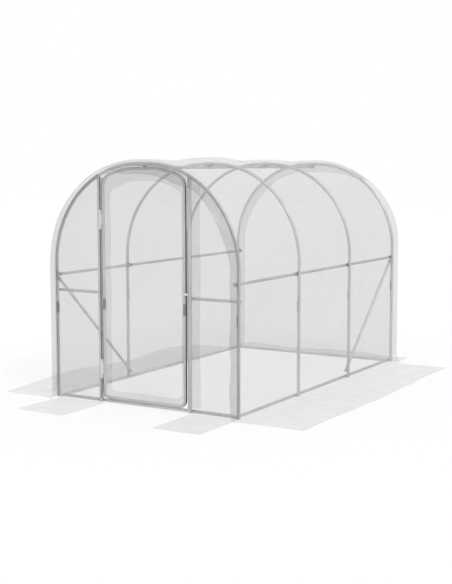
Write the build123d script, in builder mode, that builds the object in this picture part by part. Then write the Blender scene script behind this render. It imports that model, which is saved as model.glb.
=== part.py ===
"""Walk-in polytunnel greenhouse: a bolted frame of bent steel tube under a film cover.

Four hoops stand on the ground, joined by purlins, base rails and two braces.
The front end has a tube-framed door on two hinges, and film skirts lie around the foot.
Front is -Y, +X is to the right seen from the front, +Z is up, lengths in millimetres.
"""

import os
from math import atan2, degrees, sqrt

from build123d import *

# Hoops
HOOP_WIDTH = 1796.0
HOOP_HEIGHT = 2000.0
BEND_RADIUS = 840.0
BAY_LENGTH = 1033.0
BAY_COUNT = 3
HOOP_TUBE = 27.0

# Other tubes
PURLIN_TUBE = 24.0
BASE_TUBE = 25.0
DOOR_TUBE = 25.0

# Clearance between pieces that seat on each other
FIT_GAP = 0.3

# Joints in the hoops
LEG_JOINT_HEIGHT = 780.0
SLEEVE_LENGTH = 92.0
SLEEVE_WALL = 2.5
COUPLER_LENGTH = 96.0
SADDLE_LENGTH = 44.0
SADDLE_WALL = 2.5
TONGUE_WIDTH = 20.0
TONGUE_THICKNESS = 3.0

# Rails, bars and braces
PURLIN_HEIGHT = 1065.0
BAR_HEIGHT = 929.0
BAR_END_OVERRUN = 8.0
BRACE_TOP_DROP = 35.0
BRACE_FOOT_HEIGHT = 58.0
BRACE_END_OVERRUN = 6.0

# Door opening and door
POST_SPACING = 890.0
DOOR_SIDE_GAP = 18.0
DOOR_TOP_GAP = 9.0
DOOR_BOTTOM_GAP = 7.5
DOOR_TOP_RADIUS = 105.0
DOOR_BOTTOM_RADIUS = 55.0
DOOR_JOINT_HEIGHT = 838.0
DOOR_RIDGE_GAP = 6.0
HEM_SIDE = 45.0
HEM_TOP = 85.0
HEM_BOTTOM = 58.0
HEM_TOP_RADIUS = 90.0
HEM_BOTTOM_RADIUS = 60.0

# Hinges
LOWER_HINGE_RISE = 241.0
UPPER_HINGE_DROP = 348.0
HINGE_LEAF_LENGTH = 160.0
HINGE_KNUCKLE_LENGTH = 92.0
HINGE_KNUCKLE_RADIUS = 7.0
HINGE_PIN_RADIUS = 4.0
HINGE_PIN_FORWARD = 15.0
HINGE_WALL = 2.5
HINGE_PIN_GAP = 0.08
HINGE_END_GAP = 0.5

# Latch
LATCH_HEIGHT = 965.0
LATCH_BAND_HEIGHT = 20.0
LATCH_BAND_WALL = 2.5
LATCH_TONGUE_HEIGHT = 16.0
LATCH_TONGUE_THICKNESS = 3.0
LATCH_OVERLAP = 10.0
LATCH_GAP = 5.0
KEEPER_STUD_RADIUS = 3.0
KEEPER_STUD_PROUD = 9.0
KEEPER_HOLE_GAP = 1.5

# Film
FILM = 2.0
COVER_LIFT = 31.0
COVER_SAG = 27.0
FRONT_OVERHANG = 110.0
BACK_OVERHANG = 165.0
FRONT_HEM_LIFT = 36.0
BACK_HEM_DROOP = 95.0
POST_HEM_WIDTH = 60.0
POST_HEM_FOOT_GAP = 6.0
PANEL_EDGE_SET = 6.0

# Skirts on the ground
SIDE_SKIRT = 615.0
SIDE_SKIRT_BACK_SETBACK = 70.0
FRONT_SKIRT = 600.0
FRONT_LEFT_SKIRT_WIDTH = 485.0
FRONT_LEFT_SKIRT_INSET = 30.0
FRONT_RIGHT_SKIRT_WIDTH = 438.0
FRONT_RIGHT_SKIRT_INSET = 25.0
BACK_SKIRT = 361.0
BACK_SKIRT_WIDTH = 1956.0

# Worked out from the values above
LENGTH = BAY_LENGTH * BAY_COUNT
FRONT_Y = (FRONT_SKIRT - BACK_SKIRT - LENGTH) / 2
BACK_Y = FRONT_Y + LENGTH
HOOP_YS = [FRONT_Y + BAY_LENGTH * bay for bay in range(BAY_COUNT + 1)]
LEG_X = HOOP_WIDTH / 2
CROWN_X = LEG_X - BEND_RADIUS
SPRING_HEIGHT = HOOP_HEIGHT - BEND_RADIUS
HOOP_R = HOOP_TUBE / 2
PURLIN_R = PURLIN_TUBE / 2
BASE_R = BASE_TUBE / 2
DOOR_R = DOOR_TUBE / 2
HOOP_BORE_R = HOOP_R + FIT_GAP
PURLIN_BORE_R = PURLIN_R + FIT_GAP
DOOR_BORE_R = DOOR_R + FIT_GAP
SLEEVE_R = HOOP_BORE_R + SLEEVE_WALL
SADDLE_R = PURLIN_BORE_R + SADDLE_WALL
PURLIN_SET_IN = HOOP_BORE_R + PURLIN_R
BASE_SET_IN = HOOP_BORE_R + BASE_R
BASE_X = LEG_X - BASE_SET_IN
RIDGE_HEIGHT = HOOP_HEIGHT - SLEEVE_R - PURLIN_BORE_R
POST_X = POST_SPACING / 2
STILE_X = POST_X - HOOP_R - DOOR_SIDE_GAP - DOOR_R
DOOR_BOTTOM_Z = BASE_TUBE + DOOR_BOTTOM_GAP + DOOR_R
DOOR_TOP_BEND = BEND_RADIUS - HOOP_R - DOOR_TOP_GAP - DOOR_R
DOOR_SHOULDER_Z = SPRING_HEIGHT + sqrt(DOOR_TOP_BEND**2 - (STILE_X - CROWN_X) ** 2)
HINGE_HEIGHTS = (DOOR_BOTTOM_Z + LOWER_HINGE_RISE, DOOR_SHOULDER_Z - UPPER_HINGE_DROP)
PANEL_SET_OUT = SLEEVE_R + FIT_GAP
DOOR_SLEEVE_R = DOOR_BORE_R + SLEEVE_WALL
DOOR_SET_OUT = DOOR_SLEEVE_R + FIT_GAP
RIDGE_FRONT_Y = FRONT_Y + DOOR_SET_OUT + FILM + DOOR_RIDGE_GAP
PIN_X = -(POST_X - HOOP_R + STILE_X + DOOR_R) / 2
PIN_Y = FRONT_Y - HINGE_PIN_FORWARD
FILM_BASE_Z = FILM + FIT_GAP
COVER_BEND = BEND_RADIUS + HOOP_BORE_R
BAR_Y = FRONT_Y + PURLIN_SET_IN
POST_HEM_Y = BAR_Y + PURLIN_BORE_R

os.makedirs("parts", exist_ok=True)


def write(name, part):
    """Label one finished piece and write it as its own file."""
    part.label = name
    export_step(part, f"parts/{name}.step")


def end_plane(y):
    """Upright plane across the tunnel at y: its x runs to the right and its y runs up."""
    return Plane.XZ.offset(-y)


def group(pieces):
    """Like pieces that don't touch, in one node."""
    with BuildPart() as node:
        add(pieces)
    return node.part


def pair(piece):
    """A piece and its mirror image on the other side of the tunnel, in one node."""
    with BuildPart() as node:
        add(piece)
        mirror(about=Plane.YZ)
    return node.part


def mirrored(piece):
    """The mirror image alone."""
    with BuildPart() as node:
        mirror(piece, about=Plane.YZ)
    return node.part


def tube_between(start, end, radius):
    """Straight tube as a bar from one point to another."""
    run = Vector(*end) - Vector(*start)
    with BuildPart() as tube:
        with BuildSketch(Plane(origin=start, z_dir=run)):
            Circle(radius)
        extrude(amount=run.length)
    return tube.part


# Hoops: two straight legs and two bent arch halves that meet at the crown


def hoop_reach(height):
    """How far a hoop's centreline stands out from the bend's centre, and how far up the bend it is."""
    rise = max(height - SPRING_HEIGHT, 0)
    return sqrt(BEND_RADIUS**2 - rise**2), rise


def seat_inside(height):
    """Place across and up of a purlin-sized tube that seats on the inner side of a hoop."""
    out, rise = hoop_reach(height)
    set_in_share = PURLIN_SET_IN / BEND_RADIUS
    return CROWN_X + out * (1 - set_in_share), height - rise * set_in_share


def hoop_bore(y):
    """Space of a hoop's left leg and bend, with the fit gap round it."""
    with BuildPart() as bore:
        with BuildLine(end_plane(y)):
            Line((-LEG_X, 0), (-LEG_X, SPRING_HEIGHT))
            CenterArc((-CROWN_X, SPRING_HEIGHT), BEND_RADIUS, 180, -90)
        with BuildSketch():
            with Locations((-LEG_X, y)):
                Circle(HOOP_BORE_R)
        sweep()
    return bore.part


def hoop_leg(y):
    """Left leg from the ground to the joint inside its sleeve."""
    return tube_between((-LEG_X, y, 0), (-LEG_X, y, LEG_JOINT_HEIGHT - FIT_GAP), HOOP_R)


def hoop_half_arch(y):
    """Left half of an arch: upright, quarter bend and the short flat to the crown."""
    with BuildPart() as arch:
        with BuildLine(end_plane(y)):
            Line((-LEG_X, LEG_JOINT_HEIGHT), (-LEG_X, SPRING_HEIGHT))
            CenterArc((-CROWN_X, SPRING_HEIGHT), BEND_RADIUS, 180, -90)
            Line((-CROWN_X, HOOP_HEIGHT), (-FIT_GAP / 2, HOOP_HEIGHT))
        with BuildSketch(Plane.XY.offset(LEG_JOINT_HEIGHT)):
            with Locations((-LEG_X, y)):
                Circle(HOOP_R)
        sweep()
    return arch.part


for hoop_name, hoop_y in zip(("front", "second", "third", "back"), HOOP_YS):
    write(f"{hoop_name}_hoop_legs", pair(hoop_leg(hoop_y)))
    write(f"{hoop_name}_hoop_arch", pair(hoop_half_arch(hoop_y)))


def leg_sleeve(y):
    """Half sleeve over the inner side of a left leg's joint, clear of the film outside."""
    with BuildPart() as sleeve:
        with BuildSketch(Plane.XY.offset(LEG_JOINT_HEIGHT)):
            with Locations((-LEG_X, y)):
                Circle(SLEEVE_R)
                Circle(HOOP_BORE_R, mode=Mode.SUBTRACT)
        extrude(amount=SLEEVE_LENGTH / 2, both=True)
        split(bisect_by=Plane.YZ.offset(-LEG_X), keep=Keep.TOP)
    return sleeve.part


write("leg_sleeves", group([pair(leg_sleeve(y)) for y in HOOP_YS]))


def crown_coupler(y):
    """Sleeve over the crown joint with a saddle that hangs the ridge purlin under it.

    At the front hoop the saddle sits behind the sleeve, out of the door's way, and at the
    back hoop it stops short of the end panel.
    """
    saddle_y = y - SADDLE_LENGTH / 2
    if y == HOOP_YS[0]:
        saddle_y = RIDGE_FRONT_Y
    if y == HOOP_YS[-1]:
        saddle_y = y + SLEEVE_R - SADDLE_LENGTH
    reach = saddle_y + SADDLE_LENGTH - y
    with BuildPart() as coupler:
        with BuildSketch(Plane.YZ):
            with Locations((y, HOOP_HEIGHT)):
                Circle(SLEEVE_R)
        extrude(amount=COUPLER_LENGTH / 2, both=True)
        with BuildSketch(end_plane(saddle_y)):
            with Locations((0, RIDGE_HEIGHT)):
                Circle(SADDLE_R)
        extrude(amount=-SADDLE_LENGTH)
        with BuildSketch(Plane.XY.offset(RIDGE_HEIGHT + SADDLE_R)):
            with Locations((0, y + reach / 2)):
                Rectangle(TONGUE_WIDTH, reach)
        extrude(amount=TONGUE_THICKNESS / 2, both=True)
        with BuildSketch(end_plane(saddle_y)):
            with Locations((0, RIDGE_HEIGHT)):
                Circle(PURLIN_BORE_R)
        extrude(amount=-SADDLE_LENGTH, mode=Mode.SUBTRACT)
        with BuildSketch(Plane.YZ):
            with Locations((y, HOOP_HEIGHT)):
                Circle(HOOP_BORE_R)
        extrude(amount=COUPLER_LENGTH / 2, both=True, mode=Mode.SUBTRACT)
    return coupler.part


write("crown_couplers", group([crown_coupler(y) for y in HOOP_YS]))

# Purlins along both sides and under the crowns
PURLIN_X, PURLIN_Z = seat_inside(PURLIN_HEIGHT)
left_purlin = tube_between(
    (-PURLIN_X, FRONT_Y - SLEEVE_R, PURLIN_Z),
    (-PURLIN_X, BACK_Y + SLEEVE_R, PURLIN_Z),
    PURLIN_R,
)
ridge_purlin = tube_between(
    (0, RIDGE_FRONT_Y, RIDGE_HEIGHT),
    (0, BACK_Y + SLEEVE_R, RIDGE_HEIGHT),
    PURLIN_R,
)
write("left_purlin", left_purlin)
write("right_purlin", mirrored(left_purlin))
write("ridge_purlin", ridge_purlin)


def purlin_clamp(y):
    """Clamp shell that ties the left purlin to the inner half of a hoop, square to its tube."""
    front_reach = SLEEVE_R if y == HOOP_YS[0] else SADDLE_LENGTH / 2
    back_reach = SLEEVE_R if y == HOOP_YS[-1] else SADDLE_LENGTH / 2
    out, rise = hoop_reach(PURLIN_HEIGHT)
    centre = (-CROWN_X - out, y, PURLIN_HEIGHT)
    inward = (out, 0, -rise)
    bore = hoop_bore(y)
    with BuildPart() as clamp:
        with BuildSketch(Plane(origin=centre, x_dir=inward, z_dir=(rise, 0, out))):
            Circle(SLEEVE_R)
        extrude(amount=SADDLE_LENGTH / 2, both=True)
        split(bisect_by=Plane(origin=centre, z_dir=inward), keep=Keep.TOP)
        with BuildSketch(end_plane(y - front_reach)):
            with Locations((-PURLIN_X, PURLIN_Z)):
                Circle(SADDLE_R)
        extrude(amount=-front_reach - back_reach)
        with BuildSketch(end_plane(y)):
            with Locations((-PURLIN_X, PURLIN_Z)):
                Circle(PURLIN_BORE_R)
        extrude(amount=SADDLE_LENGTH, both=True, mode=Mode.SUBTRACT)
        add(bore, mode=Mode.SUBTRACT)
    return clamp.part


write("purlin_clamps", group([pair(purlin_clamp(y)) for y in HOOP_YS]))

# Base rails on the ground inside the legs
left_base_rail = tube_between(
    (-BASE_X, FRONT_Y - SLEEVE_R, BASE_R),
    (-BASE_X, BACK_Y + SLEEVE_R, BASE_R),
    BASE_R,
)
write("left_base_rail", left_base_rail)
write("right_base_rail", mirrored(left_base_rail))


def end_base_rail(y):
    """Rail across one end, cut to fit between the side rails."""
    end_x = BASE_X - BASE_R - FIT_GAP
    return tube_between((-end_x, y, BASE_R), (end_x, y, BASE_R), BASE_R)


write("front_base_rail", end_base_rail(FRONT_Y + BASE_SET_IN))
write("back_base_rail", end_base_rail(BACK_Y - BASE_SET_IN))


def brace(side, top_y, foot_y):
    """Diagonal from an end hoop under the purlin down to the foot of the next hoop."""
    overrun = BRACE_END_OVERRUN if foot_y > top_y else -BRACE_END_OVERRUN
    top_x, top_z = seat_inside(PURLIN_HEIGHT - BRACE_TOP_DROP)
    foot_x, foot_z = seat_inside(BRACE_FOOT_HEIGHT)
    top = (side * top_x, top_y - overrun, top_z)
    foot = (side * foot_x, foot_y + overrun, foot_z)
    return tube_between(top, foot, PURLIN_R)


write("left_brace", brace(-1, HOOP_YS[0], HOOP_YS[1]))
write("right_brace", brace(1, HOOP_YS[-1], HOOP_YS[-2]))


# Front end: door posts notched to the arch, and short bars behind the posts and the legs


def door_post(bore):
    """Left door post, its top notched to seat under the front arch."""
    across = POST_X - CROWN_X
    meet_z = SPRING_HEIGHT + sqrt(BEND_RADIUS**2 - across**2)
    radial = (-across, 0, meet_z - SPRING_HEIGHT)
    with BuildPart() as post:
        with BuildSketch():
            with Locations((-POST_X, FRONT_Y)):
                Circle(HOOP_R)
        extrude(amount=HOOP_HEIGHT)
        split(bisect_by=Plane(origin=(-POST_X, FRONT_Y, meet_z), z_dir=radial), keep=Keep.BOTTOM)
        add(bore, mode=Mode.SUBTRACT)
    return post.part


left_door_post = door_post(hoop_bore(FRONT_Y))
write("left_door_post", left_door_post)
write("right_door_post", mirrored(left_door_post))

bar_out, _ = hoop_reach(BAR_HEIGHT)
left_end_bar = tube_between(
    (-CROWN_X - bar_out - BAR_END_OVERRUN, BAR_Y, BAR_HEIGHT),
    (-POST_X + BAR_END_OVERRUN, BAR_Y, BAR_HEIGHT),
    PURLIN_R,
)
write("left_end_bar", left_end_bar)
write("right_end_bar", mirrored(left_end_bar))


# Film cover: one sheet over all the hoops, with free hems past both ends


def arch_face(side, rise):
    """Tunnel outline: upright walls, elliptic bends of the given radii and a flat crown."""
    with BuildSketch() as face:
        with BuildLine():
            Polyline(
                (-CROWN_X - side, SPRING_HEIGHT),
                (-CROWN_X - side, FILM_BASE_Z),
                (CROWN_X + side, FILM_BASE_Z),
                (CROWN_X + side, SPRING_HEIGHT),
            )
            EllipticalCenterArc((CROWN_X, SPRING_HEIGHT), side, rise, 0, arc_size=90)
            Line((CROWN_X, SPRING_HEIGHT + rise), (-CROWN_X, SPRING_HEIGHT + rise))
            EllipticalCenterArc((-CROWN_X, SPRING_HEIGHT), side, rise, 90, arc_size=90)
        make_face()
    return face.sketch


def cover_section(y, lift):
    """Cross-section of the film at y, its crown raised off the hoop by the lift."""
    outside = arch_face(COVER_BEND + FILM, COVER_BEND + FILM + lift)
    inside = arch_face(COVER_BEND, COVER_BEND + lift)
    with BuildSketch(end_plane(y)) as section:
        add(outside)
        add(inside, mode=Mode.SUBTRACT)
    return section.sketch


over_hoops = [cover_section(y, COVER_LIFT).face() for y in HOOP_YS]
mid_bays = [cover_section(y + BAY_LENGTH / 2, COVER_LIFT - COVER_SAG).face() for y in HOOP_YS[:-1]]
front_edge = cover_section(FRONT_Y - FRONT_OVERHANG, FRONT_HEM_LIFT).face()
back_edge = cover_section(BACK_Y + BACK_OVERHANG, -BACK_HEM_DROOP).face()
with BuildPart() as cover:
    for near, middle, far in zip(over_hoops, mid_bays, over_hoops[1:]):
        loft(sections=[near, middle, far])
    loft(sections=[front_edge, over_hoops[0]])
    loft(sections=[over_hoops[-1], back_edge])
write("cover", cover.part)


# End panels and the hems beside the door posts


def end_film(y, low_x, high_x, foot_z, bend):
    """Flat film across an end between two uprights, cut to the arch, its outer face at y."""
    outline = arch_face(bend, bend)
    with BuildPart() as film:
        with BuildSketch(end_plane(y)):
            with Locations((low_x, foot_z)):
                Rectangle(high_x - low_x, HOOP_HEIGHT * 2, align=Align.MIN)
            add(outline, mode=Mode.INTERSECT)
        extrude(amount=-FILM)
    return film.part


PANEL_BEND = BEND_RADIUS + HOOP_R
PANEL_X = CROWN_X + PANEL_BEND
PANEL_EDGE_X = POST_X + PANEL_EDGE_SET
front_panel_y = FRONT_Y - PANEL_SET_OUT - FILM
front_left_panel = end_film(front_panel_y, -PANEL_X, -PANEL_EDGE_X, FILM_BASE_Z, PANEL_BEND)
write("front_left_panel", front_left_panel)
write("front_right_panel", mirrored(front_left_panel))
write("back_panel", end_film(BACK_Y + PANEL_SET_OUT, -PANEL_X, PANEL_X, FILM_BASE_Z, PANEL_BEND))

post_hem_foot = BASE_TUBE + POST_HEM_FOOT_GAP
front_left_hem = end_film(
    POST_HEM_Y, -POST_X - POST_HEM_WIDTH, -POST_X, post_hem_foot, BEND_RADIUS
)
write("front_left_hem", front_left_hem)
write("front_right_hem", mirrored(front_left_hem))


# Skirts: film laid flat on the ground, under the edges of the cover and the panels


def skirt(low, high):
    """Flat rectangle of film on the ground between two corners."""
    with BuildPart() as sheet:
        with BuildSketch():
            with Locations(low):
                Rectangle(high[0] - low[0], high[1] - low[1], align=Align.MIN)
        extrude(amount=FILM)
    return sheet.part


side_skirt_x = LEG_X + HOOP_BORE_R
right_skirt = skirt(
    (side_skirt_x, FRONT_Y - FRONT_OVERHANG),
    (side_skirt_x + SIDE_SKIRT, BACK_Y - SIDE_SKIRT_BACK_SETBACK),
)
write("right_skirt", right_skirt)
write("left_skirt", mirrored(right_skirt))
front_skirt_edge = FRONT_Y - FRONT_SKIRT
front_skirt_root = FRONT_Y - PANEL_SET_OUT
front_left_x = -LEG_X + FRONT_LEFT_SKIRT_INSET
front_right_x = POST_X + FRONT_RIGHT_SKIRT_INSET
write(
    "front_left_skirt",
    skirt((front_left_x, front_skirt_edge), (front_left_x + FRONT_LEFT_SKIRT_WIDTH, front_skirt_root)),
)
write(
    "front_right_skirt",
    skirt((front_right_x, front_skirt_edge), (front_right_x + FRONT_RIGHT_SKIRT_WIDTH, front_skirt_root)),
)
write(
    "back_skirt",
    skirt((-BACK_SKIRT_WIDTH / 2, BACK_Y + PANEL_SET_OUT), (BACK_SKIRT_WIDTH / 2, BACK_Y + BACK_SKIRT)),
)


# Door: a bent tube loop in two halves, with an arched top that follows the hoop


def door_face(side, foot, drop, top_radius, bottom_radius):
    """Door outline set in from the tube's centreline at its sides, foot and top."""
    half = STILE_X - side
    low = DOOR_BOTTOM_Z + foot
    bend = DOOR_TOP_BEND - drop
    across = half - CROWN_X
    shoulder = SPRING_HEIGHT + sqrt(bend**2 - across**2)
    start = degrees(atan2(shoulder - SPRING_HEIGHT, across))
    crown = SPRING_HEIGHT + bend
    with BuildSketch() as face:
        with BuildLine():
            Polyline((-half, shoulder), (-half, low), (half, low), (half, shoulder))
            CenterArc((CROWN_X, SPRING_HEIGHT), bend, start, 90 - start)
            Line((CROWN_X, crown), (-CROWN_X, crown))
            CenterArc((-CROWN_X, SPRING_HEIGHT), bend, 90, 90 - start)
        make_face()
        corners = face.vertices().group_by(Axis.Y)
        fillet(corners[0], bottom_radius)
        shoulders = face.vertices().filter_by(lambda corner: abs(corner.Y - shoulder) < FIT_GAP)
        fillet(shoulders, top_radius)
    return face.sketch


def door_loop():
    """The whole door tube, bent along the outline."""
    outline = door_face(0, 0, 0, DOOR_TOP_RADIUS, DOOR_BOTTOM_RADIUS)
    with BuildSketch(end_plane(FRONT_Y), mode=Mode.PRIVATE) as placed:
        add(outline)
    path = placed.sketch.face().outer_wire()
    with BuildPart() as loop:
        with BuildSketch(Plane(origin=path @ 0, z_dir=path % 0)):
            Circle(DOOR_R)
        sweep(path=path)
    return loop.part


def door_half(loop, keep, joint_z):
    """Upper or lower half of the loop, cut at the joint inside the sleeves."""
    with BuildPart() as half:
        add(loop)
        split(bisect_by=Plane.XY.offset(joint_z), keep=keep)
    return half.part


whole_loop = door_loop()
write("door_frame_upper", door_half(whole_loop, Keep.TOP, DOOR_JOINT_HEIGHT))
write("door_frame_lower", door_half(whole_loop, Keep.BOTTOM, DOOR_JOINT_HEIGHT - FIT_GAP))


def door_sleeve():
    """Sleeve over the joint in the left stile."""
    with BuildPart() as sleeve:
        with BuildSketch(Plane.XY.offset(DOOR_JOINT_HEIGHT)):
            with Locations((-STILE_X, FRONT_Y)):
                Circle(DOOR_SLEEVE_R)
                Circle(DOOR_BORE_R, mode=Mode.SUBTRACT)
        extrude(amount=SLEEVE_LENGTH / 2, both=True)
    return sleeve.part


write("door_sleeves", pair(door_sleeve()))

film_outline = door_face(0, 0, 0, DOOR_TOP_RADIUS, DOOR_BOTTOM_RADIUS)
with BuildPart() as door_film:
    with BuildSketch(end_plane(FRONT_Y - DOOR_SET_OUT)):
        add(film_outline)
    extrude(amount=FILM)
write("door_film", door_film.part)

hem_edge = door_face(HEM_SIDE, HEM_BOTTOM, HEM_TOP, HEM_TOP_RADIUS, HEM_BOTTOM_RADIUS)
with BuildPart() as door_film_hem:
    with BuildSketch(end_plane(FRONT_Y + DOOR_SET_OUT)):
        add(film_outline)
        add(hem_edge, mode=Mode.SUBTRACT)
    extrude(amount=-FILM)
write("door_film_hem", door_film_hem.part)


# Hinges: leaves wrapped round the post and the stile, on a pin in front of the gap


def hinge_arm(tube_x, z, length):
    """Web and knuckle between a tube and the pin, over one stretch of the hinge."""
    across = Vector(PIN_X - tube_x, PIN_Y - FRONT_Y)
    middle = Vector(tube_x, FRONT_Y) + across / 2
    turn = degrees(atan2(across.Y, across.X))
    with BuildPart() as arm:
        with BuildSketch(Plane.XY.offset(z)):
            with Locations(Location((middle.X, middle.Y), turn)):
                Rectangle(across.length, HINGE_WALL * 2)
            with Locations((PIN_X, PIN_Y)):
                Circle(HINGE_KNUCKLE_RADIUS)
        extrude(amount=length)
    return arm.part


def hinge_wrap(tube_x, bore_r, z, keep):
    """Half shell round a tube on the side that faces the gap."""
    with BuildPart() as wrap:
        with BuildSketch(Plane.XY.offset(z)):
            with Locations((tube_x, FRONT_Y)):
                Circle(bore_r + HINGE_WALL)
        extrude(amount=HINGE_LEAF_LENGTH / 2, both=True)
        split(bisect_by=Plane.YZ.offset(tube_x), keep=keep)
    return wrap.part


def drill(piece, x, y, radius):
    """A piece with an upright bore cut right through it."""
    with BuildPart() as drilled:
        add(piece)
        with BuildSketch():
            with Locations((x, y)):
                Circle(radius)
        extrude(amount=HOOP_HEIGHT, mode=Mode.SUBTRACT)
    return drilled.part


def post_leaf(z):
    """Leaf on the post: a knuckle at each end, with the pin fixed between them."""
    end_length = (HINGE_LEAF_LENGTH - HINGE_KNUCKLE_LENGTH) / 2 - HINGE_END_GAP
    low_arm = hinge_arm(-POST_X, z - HINGE_LEAF_LENGTH / 2, end_length)
    high_arm = hinge_arm(-POST_X, z + HINGE_LEAF_LENGTH / 2 - end_length, end_length)
    wrap = hinge_wrap(-POST_X, HOOP_BORE_R, z, Keep.TOP)
    pin = tube_between(
        (PIN_X, PIN_Y, z - HINGE_LEAF_LENGTH / 2),
        (PIN_X, PIN_Y, z + HINGE_LEAF_LENGTH / 2),
        HINGE_PIN_RADIUS,
    )
    with BuildPart() as leaf:
        add([wrap, low_arm, high_arm, pin])
    return drill(leaf.part, -POST_X, FRONT_Y, HOOP_BORE_R)


def door_leaf(z):
    """Leaf on the stile: one long knuckle that turns on the pin."""
    arm = hinge_arm(-STILE_X, z - HINGE_KNUCKLE_LENGTH / 2, HINGE_KNUCKLE_LENGTH)
    wrap = hinge_wrap(-STILE_X, DOOR_BORE_R, z, Keep.BOTTOM)
    with BuildPart() as leaf:
        add([wrap, arm])
    bored = drill(leaf.part, -STILE_X, FRONT_Y, DOOR_BORE_R)
    return drill(bored, PIN_X, PIN_Y, HINGE_PIN_RADIUS + HINGE_PIN_GAP)


write("hinge_post_leaves", group([post_leaf(z) for z in HINGE_HEIGHTS]))
write("hinge_door_leaves", group([door_leaf(z) for z in HINGE_HEIGHTS]))

# Latch: a tongue on the door that drops over a stud on the right post
tongue_back_y = FRONT_Y - PANEL_SET_OUT - FILM - LATCH_GAP
tongue_front_y = tongue_back_y - LATCH_TONGUE_THICKNESS
with BuildPart() as door_latch:
    with BuildSketch(Plane.XY.offset(LATCH_HEIGHT)):
        with Locations((STILE_X, FRONT_Y)):
            Circle(DOOR_BORE_R + LATCH_BAND_WALL)
    extrude(amount=LATCH_BAND_HEIGHT / 2, both=True)
    with BuildSketch(Plane.XY.offset(LATCH_HEIGHT)):
        with Locations((STILE_X + FIT_GAP, tongue_front_y)):
            Rectangle(DOOR_R, FRONT_Y - tongue_front_y, align=Align.MIN)
            Rectangle(POST_X + LATCH_OVERLAP - STILE_X, LATCH_TONGUE_THICKNESS, align=Align.MIN)
    extrude(amount=LATCH_TONGUE_HEIGHT / 2, both=True)
    with BuildSketch(Plane.XY.offset(LATCH_HEIGHT)):
        with Locations((STILE_X, FRONT_Y)):
            Circle(DOOR_BORE_R)
    extrude(amount=LATCH_BAND_HEIGHT / 2, both=True, mode=Mode.SUBTRACT)
    with BuildSketch(end_plane(FRONT_Y)):
        with Locations((POST_X, LATCH_HEIGHT)):
            Circle(KEEPER_STUD_RADIUS + KEEPER_HOLE_GAP)
    extrude(amount=FRONT_Y - tongue_front_y, mode=Mode.SUBTRACT)
write("door_latch", door_latch.part)

with BuildPart() as latch_keeper:
    with BuildSketch(Plane.XY.offset(LATCH_HEIGHT)):
        with Locations((POST_X, FRONT_Y)):
            Circle(HOOP_BORE_R + LATCH_BAND_WALL)
    extrude(amount=LATCH_BAND_HEIGHT / 2, both=True)
    split(bisect_by=Plane.YZ.offset(POST_X + HOOP_R / 2), keep=Keep.BOTTOM)
    with BuildSketch(end_plane(FRONT_Y)):
        with Locations((POST_X, LATCH_HEIGHT)):
            Circle(KEEPER_STUD_RADIUS)
    extrude(amount=FRONT_Y - tongue_front_y + KEEPER_STUD_PROUD)
    with BuildSketch(Plane.XY.offset(LATCH_HEIGHT)):
        with Locations((POST_X, FRONT_Y)):
            Circle(HOOP_BORE_R)
    extrude(amount=LATCH_BAND_HEIGHT / 2, both=True, mode=Mode.SUBTRACT)
write("latch_keeper", latch_keeper.part)
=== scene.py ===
# %% [markdown]
# # A walk-in polytunnel
# The real tunnel is a bolted frame of galvanised tube with clear film pulled over it.
# The frame's tubes and fittings come from the solid model and keep their shapes.
# This lesson makes the film as thin curved sheets, adds the small fasteners, and gives
# every surface its finish. All lengths are metres, front is -Y and +Z is up.

import bmesh
import bpy
import numpy as np
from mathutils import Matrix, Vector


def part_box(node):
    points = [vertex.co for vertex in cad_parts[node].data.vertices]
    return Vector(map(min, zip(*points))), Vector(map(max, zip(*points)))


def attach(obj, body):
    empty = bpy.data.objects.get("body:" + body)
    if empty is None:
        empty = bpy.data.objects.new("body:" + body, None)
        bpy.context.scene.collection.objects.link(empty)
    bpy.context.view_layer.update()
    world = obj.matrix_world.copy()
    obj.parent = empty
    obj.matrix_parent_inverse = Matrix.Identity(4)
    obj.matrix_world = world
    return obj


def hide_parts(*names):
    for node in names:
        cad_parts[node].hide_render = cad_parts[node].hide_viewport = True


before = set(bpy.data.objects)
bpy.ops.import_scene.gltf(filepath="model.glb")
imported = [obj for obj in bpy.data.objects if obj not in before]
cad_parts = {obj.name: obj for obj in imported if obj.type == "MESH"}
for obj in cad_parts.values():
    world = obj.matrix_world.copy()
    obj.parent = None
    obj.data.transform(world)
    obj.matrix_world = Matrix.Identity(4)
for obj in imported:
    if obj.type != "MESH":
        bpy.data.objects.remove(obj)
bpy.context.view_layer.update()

legs_low, legs_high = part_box("front_hoop_legs")
TUBE_R = (legs_high.y - legs_low.y) / 2
FRONT = legs_low.y + TUBE_R
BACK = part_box("back_hoop_legs")[1].y - TUBE_R
LEG_X = legs_high.x - TUBE_R
CROWN_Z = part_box("front_hoop_arch")[1].z - TUBE_R
BEND_R = 0.84
CROWN_X = LEG_X - BEND_R
SPRING_Z = CROWN_Z - BEND_R
BAYS = 3
BAY = (BACK - FRONT) / BAYS
print(f"tunnel {2 * LEG_X:.3f} wide, {BACK - FRONT:.3f} long, {CROWN_Z:.3f} high")

# %% [markdown]
# ## The camera
# A picture's camera can be found from straight lines in it. Its place, turn and focal
# length were worked out from the hoops and rails, so they are plain numbers here.
# Putting the camera first means that every later piece can be judged in the same view.

# %% Camera at the photograph's viewing angle
IMAGE_HIGH = 584
FOCAL_PIXELS = 1133.19
CAMERA_ASIDE = 5.2698
CAMERA_BEFORE_FRONT = 7.5845
CAMERA_HIGH = 1.9901
CAMERA_TURN = 30.6107
CAMERA_TILT = 6.3889

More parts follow.
